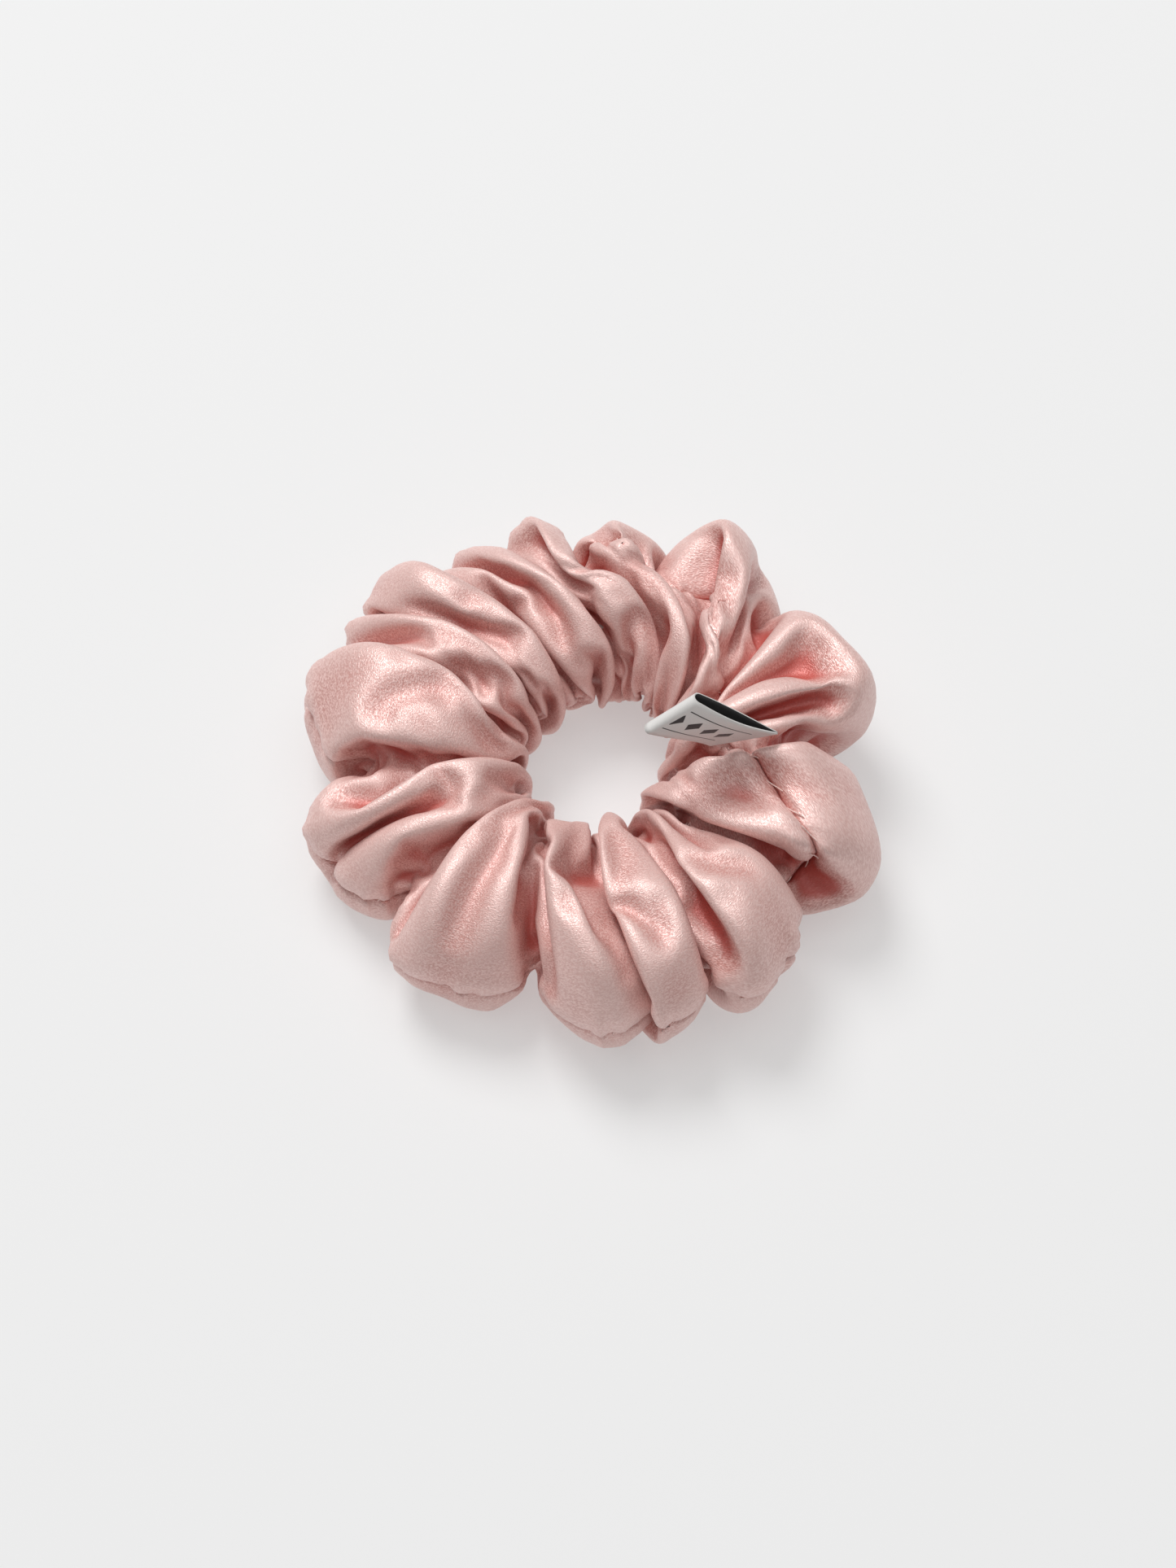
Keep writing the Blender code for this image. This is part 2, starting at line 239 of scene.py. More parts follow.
class Shader:
    """A material that is built from nodes."""

    def __init__(self, name, colour, roughness, **constants):
        self.material = bpy.data.materials.new(name)
        self.material.use_nodes = True
        self.tree = self.material.node_tree
        self.surface = self.tree.nodes["Principled BSDF"]
        self.surface.inputs["Base Color"].default_value = (*colour, 1)
        self.surface.inputs["Roughness"].default_value = roughness
        for socket, value in constants.items():
            self.surface.inputs[socket.replace("_", " ")].default_value = value

    def node(self, kind, settings=None, inputs=()):
        """A node with its settings, and values or links for its sockets, by place or by name."""
        made = self.tree.nodes.new(kind)
        for key, value in (settings or {}).items():
            setattr(made, key, value)
        pairs = inputs.items() if isinstance(inputs, dict) else enumerate(inputs)
        for key, value in pairs:
            self.put(made.inputs[key], value)
        return made

    def put(self, socket, value):
        if isinstance(value, Signal):
            value = value.socket
        if isinstance(value, bpy.types.NodeSocket):
            self.tree.links.new(value, socket)
        else:
            socket.default_value = value

    def signal(self, node, output=0):
        return Signal(self, node.outputs[output])

    def cloth_place(self, width, length):
        """(along, across) in millimetres, from the piece's UV map, which runs from 0 to 1 each way."""
        uv = self.node("ShaderNodeUVMap", {"uv_map": "cloth"})
        parts = self.node("ShaderNodeSeparateXYZ", inputs=(uv.outputs[0],))
        return self.signal(parts, 0) * (length * 1000), self.signal(parts, 1) * (width * 1000)

    def point(self, x, y, z=0.0):
        return self.node("ShaderNodeCombineXYZ", inputs=(x, y, z)).outputs[0]

    def noise(self, place, scale, detail=2.0, roughness=0.5):
        node = self.node(
            "ShaderNodeTexNoise",
            inputs={"Vector": place, "Scale": scale, "Detail": detail, "Roughness": roughness},
        )
        return self.signal(node)

    def object_place(self):
        return self.node("ShaderNodeTexCoord").outputs["Object"]

    def attribute(self, name):
        node = self.node("ShaderNodeAttribute", {"attribute_name": name})
        return Signal(self, node.outputs["Fac"])

    def mix(self, share, first, second):
        """A colour between two colours."""
        node = self.node("ShaderNodeMix", {"data_type": "RGBA"})
        self.put(node.inputs["Factor"], share)
        colours = [socket for socket in node.inputs if socket.type == "RGBA"]
        for socket, colour in zip(colours, (first, second)):
            self.put(socket, (*colour, 1) if isinstance(colour, tuple) else colour)
        return next(socket for socket in node.outputs if socket.type == "RGBA")

    def bump(self, height, distance, strength=1.0):
        node = self.node("ShaderNodeBump", inputs={"Strength": strength, "Distance": distance})
        self.put(node.inputs["Height"], height)
        self.put(self.surface.inputs["Normal"], node.outputs[0])

    def colour(self, value):
        self.put(self.surface.inputs["Base Color"], value)

    def roughness(self, value):
        self.put(self.surface.inputs["Roughness"], value)


# ---------------------------------------------------------------- finishes

ROSE = (0.64, 0.285, 0.248)
ROSE_BRIGHT = (0.93, 0.615, 0.57)
ROSE_CLOUDY = (0.80, 0.50, 0.46)
# Painted highlight: a lighter rose that is painted onto the ridges of the folds.
ROSE_PAINTED_HIGHLIGHT = (0.98, 0.73, 0.68)
# Painted shade: a deep red that is painted into the creases of the folds.
ROSE_PAINTED_CREASE_SHADE = (0.54, 0.075, 0.055)
SATIN_METAL = 0.18
SATIN_ROUGH = 0.50
GRAIN_SMOOTHS = 0.18
CLOUDY_SHARE = 0.25
RIDGE_HIGHLIGHT_SHARE = 0.5
CREASE_SHADE_SHARE = 0.92
# Features per millimetre, for the grain, the floating threads and the slow change of tone.
GRAIN_SCALE = 1.9
FLOAT_SCALE = 3.8
CLOUDY_SCALE = 0.06
GRAIN_DEPTH = 0.00018
THREAD_ROSE = (0.88, 0.64, 0.59)
THREAD_ROSE_DARK = (0.80, 0.53, 0.48)
THREAD_ROSE_PALE = (0.94, 0.74, 0.69)
TWIST_SCALE = 4200.0
ELASTIC_WHITE = (0.80, 0.79, 0.77)
ELASTIC_SHADE = (0.66, 0.65, 0.63)
ELASTIC_PALE = (0.86, 0.855, 0.84)


def rose_satin():
    """Satin: warp threads that float over the weft give a fine grain, and a broad soft shine. Its creases
    get painted shade and its ridges a painted highlight.
    """
    s = Shader(
        "rose_satin", ROSE, SATIN_ROUGH,
        Metallic=SATIN_METAL, Specular_IOR_Level=1.0, Anisotropic=0.3,
    )
    along, across = s.cloth_place(CLOTH_CUT, CLOTH_LENGTH)
    grain = s.noise(s.point(along * 0.85, across), GRAIN_SCALE, 2.5, 0.75)
    floats = s.noise(s.point(along * 0.8, across * 1.15), FLOAT_SCALE, 1.0, 0.5)
    cloudy = s.noise(s.point(along, across), CLOUDY_SCALE, 2.0, 0.5)
    sparkle = (grain * 0.5 + floats * 0.5).between(0.41, 0.61)
    # How deep each point lies in a crease, or how high on a fold: the mask for the painted shade and the
    # painted highlight.
    fold_shading = s.attribute("fold")
    base = s.mix(sparkle, ROSE, ROSE_BRIGHT)
    base = s.mix(cloudy.between(0.35, 0.7) * CLOUDY_SHARE, base, ROSE_CLOUDY)
    # Painted highlight: the ridges of the folds are painted lighter.
    base = s.mix((fold_shading * -1).between(0.02, 0.5) * RIDGE_HIGHLIGHT_SHARE, base, ROSE_PAINTED_HIGHLIGHT)
    # Painted shade: the creases of the folds are painted deep red.
    base = s.mix(fold_shading.between(0.08, 0.55) * CREASE_SHADE_SHARE, base, ROSE_PAINTED_CREASE_SHADE)
    s.colour(base)
    s.roughness(SATIN_ROUGH - sparkle * GRAIN_SMOOTHS)
    s.bump(grain * 0.6 + floats * 0.6, GRAIN_DEPTH, 0.8)
    return s.material


def rose_thread():
    s = Shader("rose_thread", THREAD_ROSE, 0.55, Sheen_Weight=0.25)
    twist = s.noise(s.object_place(), TWIST_SCALE, 1.0, 0.4)
    s.colour(s.mix(twist.between(0.35, 0.65), THREAD_ROSE_DARK, THREAD_ROSE_PALE))
    s.bump(twist, 0.00005, 0.7)
    return s.material


def white_elastic():
    """Braided elastic: flat strands that cross in small diamonds, over rubber cores that run along it."""
    s = Shader("white_elastic", ELASTIC_WHITE, 0.7, Sheen_Weight=0.3)
    along, across = s.cloth_place(ELASTIC_WIDTH, ELASTIC_LENGTH)
    one = ((along * 0.9 + across * 1.1).wrapped() - 0.5).size() * 2
    other = ((along * 0.9 - across * 1.1).wrapped() - 0.5).size() * 2
    strands = one.maths("MAXIMUM", other)
    s.colour(s.mix(strands.between(0.55, 1.0), ELASTIC_SHADE, ELASTIC_PALE))
    s.bump(strands, 0.00018, 0.8)
    return s.material


# The ribbon's pattern is drawn for a ribbon this wide and this long, in metres.
PATTERN_SIZE = (0.0125, 0.040)
# Places in the pattern are in millimetres from the ribbon's edge or its end. A diamond as long as the
# whole step would be DIAMOND_TALL high.
PATTERN_MIDDLE = 6.25
PATTERN_FOLD = 20
DIAMOND_STEP = 3.9
DIAMOND_TALL = 6.0
LINE_OFFSET = 3.4
RIBS_PER_MM = 5.0
THREADS_PER_MM = 7.0
RIBBON_WHITE = (0.82, 0.80, 0.78)
RIBBON_SHADE = (0.70, 0.675, 0.65)
RIBBON_PALE = (0.86, 0.845, 0.825)
RIBBON_INK = (0.018, 0.017, 0.018)
REVERSE_BLACK = (0.014, 0.013, 0.014)
REVERSE_DARK = (0.010, 0.009, 0.010)
REVERSE_RIB = (0.030, 0.028, 0.029)


def label_front():
    """The label's face: white satin ribbon with fine ribs, and a plain woven row of diamonds."""
    s = Shader("label_face", RIBBON_WHITE, 0.42, Sheen_Weight=0.2)
    along, across = s.cloth_place(*PATTERN_SIZE)
    ribs = ((along * RIBS_PER_MM).wrapped() - 0.5).size() * 2
    threads = ((across * THREADS_PER_MM).wrapped() - 0.5).size() * 2
    weave = ribs * 0.6 + threads * 0.4
    fuzz = s.noise(s.point(along, across), 6.0, 2.0, 0.6)
    ground = s.mix(weave * 0.5 + fuzz * 0.5, RIBBON_SHADE, RIBBON_PALE)
    # A row of woven diamonds between two lines, on each half of the folded ribbon.
    step = (along * (1 / DIAMOND_STEP)).wrapped() - 0.5
    middle = (across - PATTERN_MIDDLE).size()
    diamond = 1 - (step.size() + middle * (1 / DIAMOND_TALL)).between(0.32, 0.35)
    lines = 1 - (middle - LINE_OFFSET).size().between(0.10, 0.18)
    from_fold = (along - PATTERN_FOLD).size()
    row = from_fold.between(2.2, 2.3) * (1 - from_fold.between(16.8, 16.9))
    mark = diamond.maths("MAXIMUM", lines) * row
    s.colour(s.mix(mark, ground, RIBBON_INK))
    s.bump(weave * 0.5 + mark * 1.2, 0.00008, 0.7)
    return s.material


def label_back():
    """The reverse of the ribbon, black where its pattern threads float."""
    s = Shader("label_reverse", REVERSE_BLACK, 0.6, Sheen_Weight=0.15)
    along, _ = s.cloth_place(*PATTERN_SIZE)
    ribs = ((along * RIBS_PER_MM).wrapped() - 0.5).size() * 2
    s.colour(s.mix(ribs, REVERSE_DARK, REVERSE_RIB))
    s.bump(ribs, 0.00008, 0.5)
    return s.material


# ---------------------------------------------------------------- mesh helpers


def new_object(name, mesh, *looks):
    obj = bpy.data.objects.new(name, mesh)
    bpy.context.scene.collection.objects.link(obj)
    for look in looks:
        mesh.materials.append(look)
    return obj


def mesh_of(name, bm):
    mesh = bpy.data.meshes.new(name)
    bm.to_mesh(mesh)
    bm.free()
    return mesh


def points_of(mesh):
    flat = np.empty(len(mesh.vertices) * 3, np.float32)
    mesh.vertices.foreach_get("co", flat)
    return flat.reshape(-1, 3).astype(float)


def set_points(mesh, points):
    mesh.vertices.foreach_set("co", np.asarray(points, np.float32).ravel())
    mesh.update()


def evaluated_mesh(obj):
    """The object's mesh with its modifiers applied."""
    graph = bpy.context.evaluated_depsgraph_get()
    return bpy.data.meshes.new_from_object(obj.evaluated_get(graph), depsgraph=graph)


# ---------------------------------------------------------------- the satin cover


def seam_turn(angle):
    """Where the long seam lies on the tube's section at an angle round the ring."""
    away = (angle - SEAM_RISE_AT + math.pi) % FULL_TURN - math.pi
    rise = np.cos(np.clip(away / SEAM_RISE_SPAN, -1, 1) * math.pi / 2) ** 2
    return SEAM_LOW + SEAM_RISE * rise


def cloth_map(along, around):
    """For points of the strip: the angle round the ring, the turn round the section, and the gather's phase.

    The phase grows by a full turn from one crown to the next.
    """
    share = np.array([g[2] for g in GATHERS])
    to_next = (share + np.roll(share, -1)) / 2
    marks = np.concatenate([[0], np.cumsum(to_next)]) / to_next.sum()
    marks = marks + to_next[-1] / 2 / to_next.sum()
    count = len(GATHERS)
    place = np.where(along < marks[0], along + 1, along)
    outer = np.radians([g[0] for g in GATHERS] + [GATHERS[0][0] + 360])
    inner = np.radians([g[1] for g in GATHERS] + [GATHERS[0][1] + 360])
    phase = np.interp(place, marks, FULL_TURN * np.arange(count + 1))
    outer_angle = np.interp(place, marks, outer)
    inner_angle = np.interp(place, marks, inner)
    turn = seam_turn(outer_angle) + FULL_TURN * around
    inward = (1 - np.cos(turn)) / 2
    angle = outer_angle * (1 - inward) + inner_angle * inward
    return angle, turn, phase


def slack_ring(angle, turn, phase):
    """The sewn tube as a wide slack ring, already rippled where each gather will come."""
    ring = CLOTH_LENGTH / FULL_TURN
    tube = CLOTH_ROUND / FULL_TURN
    draw = np.random.default_rng(UNEVEN_SEED)
    uneven = 0
    for ripples in (0.5, 1.5, 2, 2.5, 3):
        for round_tube in (0, 1, 2):
            size, shift = draw.normal(), draw.uniform(0, FULL_TURN)
            uneven = uneven + START_UNEVEN * size * np.cos(ripples * phase + shift + round_tube * turn)
    wave = START_WAVE * np.cos(phase) * (0.6 + 0.4 * np.cos(turn))
    nearest = np.rint(phase / FULL_TURN).astype(int)
    dent = np.array([g[3] for g in GATHERS])[nearest % len(GATHERS)]
    away = (phase - FULL_TURN * nearest) / DENT_REACH
    dent = dent * np.exp(-(away**2)) * (1 + np.cos(turn)) / 2
    thick = tube * (1 + wave - dent) + uneven
    radius = ring + thick * np.cos(turn)
    height = tube * (1 + START_WAVE) + START_LIFT + thick * np.sin(turn)
    return np.stack([radius * np.cos(angle), radius * np.sin(angle), height], -1)


def flat_band(along, around):
    """The tube pressed flat and stood up as a band: every thread has the length that it was cut to."""
    half = CLOTH_ROUND / 2
    down = around * CLOTH_ROUND
    height = np.where(down < half, down - half / 2, 1.5 * half - down)
    apart = np.where(down < half, 0.0004, -0.0004)
    radius = CLOTH_LENGTH / FULL_TURN + apart
    turn = along * FULL_TURN
    return np.stack([radius * np.cos(turn), radius * np.sin(turn), height], -1)


def drawn_line(angle, hole):
    """Where the inner line of the tube ends up, drawn in by the elastic."""
    x = hole[0] + DRAWN_RADIUS * np.cos(angle)
    y = hole[1] + DRAWN_RADIUS * np.sin(angle)
    return np.stack([x, y, np.full_like(x, DRAWN_HEIGHT)], -1)


def cover_grid():
    """The strip as a grid whose long edges and short edges are joined. Its UV map keeps the flat strip."""
    bm = bmesh.new()
    bm.loops.layers.uv.new("cloth")
    bmesh.ops.create_grid(bm, x_segments=GRID_ALONG, y_segments=GRID_ROUND, size=0.5, calc_uvs=True)
    along = bm.verts.layers.float.new("along")
    around = bm.verts.layers.float.new("around")
    for vert in bm.verts:
        vert[along] = vert.co.x + 0.5
        vert[around] = vert.co.y + 0.5
    places = np.array([(v[along], v[around]) for v in bm.verts])
    ring = slack_ring(*cloth_map(places[:, 0], places[:, 1]))
    for vert, place in zip(bm.verts, ring):
        vert.co = place
    bmesh.ops.remove_doubles(bm, verts=bm.verts, dist=0.00001)
    bmesh.ops.recalc_face_normals(bm, faces=bm.faces)
    return mesh_of("satin_cover", bm)


def strip_places(mesh):
    """(along, around) of each vertex, from the attributes that the grid was made with."""
    found = []
    for name in ("along", "around"):
        values = np.empty(len(mesh.vertices), np.float32)
        mesh.attributes[name].data.foreach_get("value", values)
        found.append(values.astype(float) % 1.0)
    return found


def shape_key(obj, name, points):
    key = obj.shape_key_add(name=name)
    key.data.foreach_set("co", np.asarray(points, np.float32).ravel())
    key.value = 0
    return key


def flat_collider(name, height, up):
    """A wide board that the cloth can't pass: the table, or the pressing board above it."""
    bm = bmesh.new()
    bmesh.ops.create_grid(bm, x_segments=1, y_segments=1, size=3.0)
    if not up:
        bmesh.ops.reverse_faces(bm, faces=bm.faces)
    obj = new_object(name, mesh_of(name, bm))
    obj.location.z = height
    obj.modifiers.new("collision", "COLLISION")
    obj.collision.thickness_outer = COLLIDER_SKIN
    obj.collision.cloth_friction = 5 if up else 1
    return obj


def drawing_band(hole):
    """The elastic, which the cloth can't pass. It lies in the tube and shrinks with the inner line."""
    bm = bmesh.new()
    bmesh.ops.create_grid(bm, x_segments=96, y_segments=10, size=0.5)
    for vert in bm.verts:
        angle = vert.co.x * FULL_TURN
        turn = vert.co.y * FULL_TURN
        radius = BAND_RADIUS + BAND_HALF_THICKNESS * math.cos(turn)
        vert.co = (radius * math.cos(angle), radius * math.sin(angle), BAND_HALF_HEIGHT * math.sin(turn))
    bmesh.ops.scale(bm, vec=(LARGER,) * 3, verts=bm.verts)
    bmesh.ops.remove_doubles(bm, verts=bm.verts, dist=0.0001)
    bmesh.ops.recalc_face_normals(bm, faces=bm.faces)
    band = new_object("drawing_band", mesh_of("drawing_band", bm))
    band.modifiers.new("collision", "COLLISION")
    band.collision.thickness_outer = COLLIDER_SKIN
    band.collision.cloth_friction = 2
    tube = CLOTH_ROUND / FULL_TURN
    start_height = tube * (1 + START_WAVE) + START_LIFT
    wide = (CLOTH_LENGTH / FULL_TURN - 0.5 * tube) / BAND_RADIUS
    for at, place, scale in (
        (1, (0, 0, start_height), wide),
        (DRAW_FRAMES, (hole[0], hole[1], ELASTIC_HEIGHT), 1),
    ):
        band.location = Vector(place) * LARGER
        band.scale = (scale, scale, 1)
        band.keyframe_insert("location", frame=at)
        band.keyframe_insert("scale", frame=at)
    return band


def gathered(obj, hole):
    """Draws the cover's inner line in under a lowering board, and gives the points it settles to."""
    mesh = obj.data
    along, around = strip_places(mesh)
    angle, turn, phase = cloth_map(along, around)
    slack = points_of(mesh)
    set_points(mesh, slack * LARGER)
    obj.shape_key_add(name="slack")
    cut_size = shape_key(obj, "cut_size", flat_band(along, around) * LARGER)
    drawn = shape_key(obj, "drawn", drawn_line(angle, hole) * LARGER)
    inner = np.abs(turn % FULL_TURN - math.pi) <= math.pi / GRID_ROUND * 1.001
    line = obj.vertex_groups.new(name="inner_line")
    in_valley = np.abs(phase % FULL_TURN - math.pi) < HELD_SPAN
    line.add([int(i) for i in np.flatnonzero(inner & in_valley)], 1.0, "REPLACE")

    modifier = obj.modifiers.new("gathering", "CLOTH")
    cloth = modifier.settings
    cloth.quality = 5
    cloth.mass = 0.1
    cloth.air_damping = 1.0
    cloth.tension_stiffness = 25
    cloth.compression_stiffness = 20
    cloth.shear_stiffness = 5
    cloth.bending_stiffness = 1.5
    cloth.tension_damping = 5
    cloth.compression_damping = 5
    cloth.shear_damping = 5
    cloth.bending_damping = 0.5
    cloth.vertex_group_mass = line.name
    cloth.rest_shape_key = cut_size
    cloth.effector_weights.gravity = 0.3
    cloth.use_pressure = True
    cloth.uniform_pressure_force = PUFF
    touch = modifier.collision_settings
    touch.collision_quality = 2
    touch.distance_min = 0.005
    touch.use_self_collision = True
    touch.self_distance_min = 0.007
    touch.self_friction = 5

    last = DRAW_FRAMES + REST_FRAMES
    table = flat_collider("table", 0, True)
    board = flat_collider("board", BOARD_HIGH * LARGER, False)
    band = drawing_band(hole)
    heights = (
        (1, BOARD_HIGH),
        (BOARD_STARTS, BOARD_HIGH),
        (DRAW_FRAMES, BOARD_LOW),
        (DRAW_FRAMES + BOARD_LEAVES, BOARD_LOW),
        (last, BOARD_LIFTED),
    )
    for at, height in heights:
        board.location.z = height * LARGER
        board.keyframe_insert("location", index=2, frame=at)
    drawn.keyframe_insert("value", frame=1)
    drawn.value = 1
    drawn.keyframe_insert("value", frame=DRAW_FRAMES)
    modifier.point_cache.frame_start = 1
    modifier.point_cache.frame_end = last
    for at in range(1, last + 1):
        bpy.context.scene.frame_set(at)
    settled = points_of(evaluated_mesh(obj)) / LARGER

    bpy.data.objects.remove(table)
    bpy.data.objects.remove(board)
    bpy.data.objects.remove(band)
    obj.modifiers.remove(modifier)
    mesh.shape_keys.animation_data_clear()
    obj.shape_key_clear()
    bpy.context.scene.frame_set(1)
    return settled


def fitted(points, low, high):
    """The points, moved and scaled so that their box is the frame's box for the cover."""
    own_low, own_high = points.min(0), points.max(0)
    return (points - own_low) / (own_high - own_low) * (np.array(high) - np.array(low)) + np.array(low)


def ease(value, low, high):
    t = np.clip((value - low) / (high - low), 0, 1)
    return t * t * (3 - 2 * t)


def spline_weights(t):
    """The shares of four neighbouring points in a smooth curve that passes between the middle two."""
    return (
        (1 - t) ** 3 / 6,
        (3 * t**3 - 6 * t**2 + 4) / 6,
        (-3 * t**3 + 3 * t**2 + 3 * t + 1) / 6,
        t**3 / 6,
    )


def centred(share):
    """A share of the way round, from 0 to 1, as one from -0.5 to 0.5."""
    return (share + 0.5) % 1 - 0.5


class SewnCloth:
    """The settled satin as a smooth skin: each place on the tube, (along, around), has its point."""

    def __init__(self, mesh, settled):
        along, around = strip_places(mesh)
        column = np.rint(along * GRID_ALONG).astype(int) % GRID_ALONG
        row = np.rint(around * GRID_ROUND).astype(int) % GRID_ROUND
        self.net = np.zeros((GRID_ALONG, GRID_ROUND, 3))
        self.net[column, row] = settled
        self.bend_at = 0.0
        self.bend_by = 0.0
        self.gap_low = self.along_at(GAP_TO)
        self.gap_span = (self.along_at(GAP_FROM) - self.gap_low) % 1

    def sewn_by_hand(self, along):
        """1 along the gap that was left for turning the tube, and 0 beyond its ends."""
        away = np.abs(centred(along - self.gap_low - self.gap_span / 2))
        return 1 - ease(away, self.gap_span / 2, self.gap_span / 2 + 0.012)

    def seam_bend(self, along):
        """How far the long seam swings aside on its way past the label, as a share of the way round."""
        away = centred(along - self.bend_at) * CLOTH_LENGTH
        return self.bend_by * np.exp(-((away / SEAM_BEND_REACH) ** 2))

    def skin(self, along, around):
        a = np.asarray(along) * GRID_ALONG
        b = (np.asarray(around) + self.seam_bend(np.asarray(along))) * GRID_ROUND
        i, j = np.floor(a).astype(int), np.floor(b).astype(int)
        total = 0
        for p, one in enumerate(spline_weights(a - i)):
            for q, other in enumerate(spline_weights(b - j)):
                corner = self.net[(i + p - 1) % GRID_ALONG, (j + q - 1) % GRID_ROUND]
                total = total + (one * other)[..., None] * corner
        return total

    def outward(self, along, around):
        step = 0.0004
        one = self.skin(along + step, around) - self.skin(along - step, around)
        other = self.skin(along, around + step * 4) - self.skin(along, around - step * 4)
        normal = np.cross(one, other)
        return normal / np.maximum(np.linalg.norm(normal, axis=-1, keepdims=True), 1e-12)

    def relief(self, along, around):
        """How far the sewing lifts the cloth, which sinks at seams, stands over allowances and puckers."""
        from_seam = centred(np.asarray(around)) * CLOTH_ROUND
        from_join = centred(np.asarray(along)) * CLOTH_LENGTH
        length = np.asarray(along) * CLOTH_LENGTH
        sway = np.sin(length * FULL_TURN / SWAY_LONG + 0.8) + np.sin(length * FULL_TURN / SWAY_SHORT)
        pucker = np.sin(length * FULL_TURN / PUCKER_WIDTH + 1.3 * sway)
        pucker = pucker + 0.35 * np.sin(length * FULL_TURN / (PUCKER_WIDTH / 2))
        near = np.exp(-((from_seam / PUCKER_REACH) ** 2))
        by_hand = self.sewn_by_hand(np.asarray(along))
        lift = SEAM_PUCKER * pucker * near * (1 + 0.5 * sway) * ease(np.abs(from_seam), 0, 0.0012)
        lift = lift * (1 + HAND_PUCKER * by_hand)
        lift = lift - SEAM_SINK * np.exp(-np.abs(from_seam) / SEAM_SINK_REACH) * (1 + 0.4 * by_hand)
        lift = lift + SEAM_RIDGE * ease(from_seam, 0, 0.001) * (1 - ease(from_seam, *SEAM_RIDGE_FALLS))
        lift = lift - JOIN_SINK * np.exp(-np.abs(from_join) / JOIN_SINK_REACH)
        falls = ease(from_join, JOIN_ALLOWANCE - 0.0006, JOIN_ALLOWANCE + 0.0008)
        return lift + JOIN_RIDGE * ease(from_join, 0, 0.001) * (1 - falls)

    def at(self, along, around, lift=0.0):
        """Points of the sewn cloth, or a little above or below it."""
        along, around = np.asarray(along, float), np.asarray(around, float)
        raised = self.relief(along, around) + lift
        return self.skin(along, around) + self.outward(along, around) * raised[..., None]

    def along_at(self, angle):
        """How far along the cloth the outer edge passes that angle round the ring."""
        places = np.linspace(0, 1, 4 * GRID_ALONG, endpoint=False)
        outer, _, _ = cloth_map(places, np.zeros_like(places))
        return places[np.argmin(np.abs(centred((outer - angle) / FULL_TURN)))]

    def dense(self):
        """Places all over the tube, and their points: (along, around, points)."""
        along = np.arange(2 * GRID_ALONG) / (2 * GRID_ALONG)
        around = np.arange(2 * GRID_ROUND) / (2 * GRID_ROUND)
        along, around = np.meshgrid(along, around, indexing="ij")
        return along, around, self.skin(along, around)

    def meet_label(self):
        """Brings the top of the cloth up or down to the label's root, and the long seam through it."""
        half = np.array(LABEL_SEAM_DIRECTION) * LABEL_WIDTH / 2
        first = np.array(LABEL_ROOT) - half
        span = 2 * half
        _, _, points = self.dense()
        shares = np.linspace(0, 1, 7)
        lifts = []
        for share in shares:
            target = first + span * share
            near = np.linalg.norm(points[..., :2] - target[:2], axis=-1) < 0.0014
            lifts.append(target[2] + LABEL_SUNK - points[near][:, 2].max())
        part = np.clip(((self.net - first)[..., :2] @ span[:2]) / (span[:2] @ span[:2]), 0, 1)
        apart = np.linalg.norm(self.net[..., :2] - (first + part[..., None] * span)[..., :2], axis=-1)
        top = ease(self.net[..., 2], 0.010, 0.020)
        self.net[..., 2] += np.interp(part, shares, lifts) * np.exp(-((apart / LABEL_REACH) ** 2)) * top
        along, around, points = self.dense()
        nearest = np.argmin(np.linalg.norm(points - np.array(LABEL_ROOT), axis=-1))
        self.bend_at = along.ravel()[nearest]
        self.bend_by = centred(around.ravel()[nearest])

    def give_way(self, laid):
        """Presses the cloth down where the label lies on it once it is turned over."""
        points = self.net.reshape(-1, 3)
        limit = np.full(len(points), np.inf)
        beneath = np.zeros(len(points), bool)
        for place in laid:
            apart = np.linalg.norm(points[:, :2] - place[:2], axis=1)
            rising = PRESS_SLOPE * np.maximum(apart - PRESS_CLEAR, 0)
            limit = np.minimum(limit, place[2] - PRESS_CLEAR + rising)
            beneath |= apart < 2 * PRESS_CLEAR
        top = points[beneath, 2].max()
        share = np.clip((limit - PRESS_BASE) / (top - PRESS_BASE), 0, 1)
        above = np.maximum(points[:, 2] - PRESS_BASE, 0)
        points[:, 2] -= above * (1 - share)
        self.net = points.reshape(self.net.shape)


def row_places():
    """Distances across the cut strip of the cover's rows. They are closer together near the long seam."""
    half = CLOTH_CUT / 2
    allowance = (0, 0.0017, 0.0034, 0.0046, 0.0049)
    beside_seam = (0.0051, 0.0053, 0.0056, 0.0060, 0.0065, 0.0071, 0.0078, 0.0086)
    near = allowance + beside_seam
    wide = [near[-1] + (half - near[-1]) * (k + 1) / WIDE_ROWS for k in range(WIDE_ROWS)]
    side = [*near, *wide]
    return np.array(side + [CLOTH_CUT - d for d in side[-2::-1]])


def cover_points(cloth, along, across):
    """Points of the cut strip. Past each stitch line its edge is an allowance, turned under the cloth."""
    sewn = (across - SEAM_ALLOWANCE) / CLOTH_ROUND
    on_tube = np.clip(sewn, 0, 1)
    open_by = SEAM_OPEN / CLOTH_ROUND
    points = cloth.at(along, np.clip(on_tube, open_by, 1 - open_by))
    over = np.abs(sewn - on_tube) * CLOTH_ROUND
    second = sewn > 1
    drop = np.where(second, 2 * FLAP_DROP, FLAP_DROP) + FLAP_CLEAR
    under = cloth.at(along, over / CLOTH_ROUND + open_by, -drop)
    return np.where((over > 1e-6)[..., None], under, points)


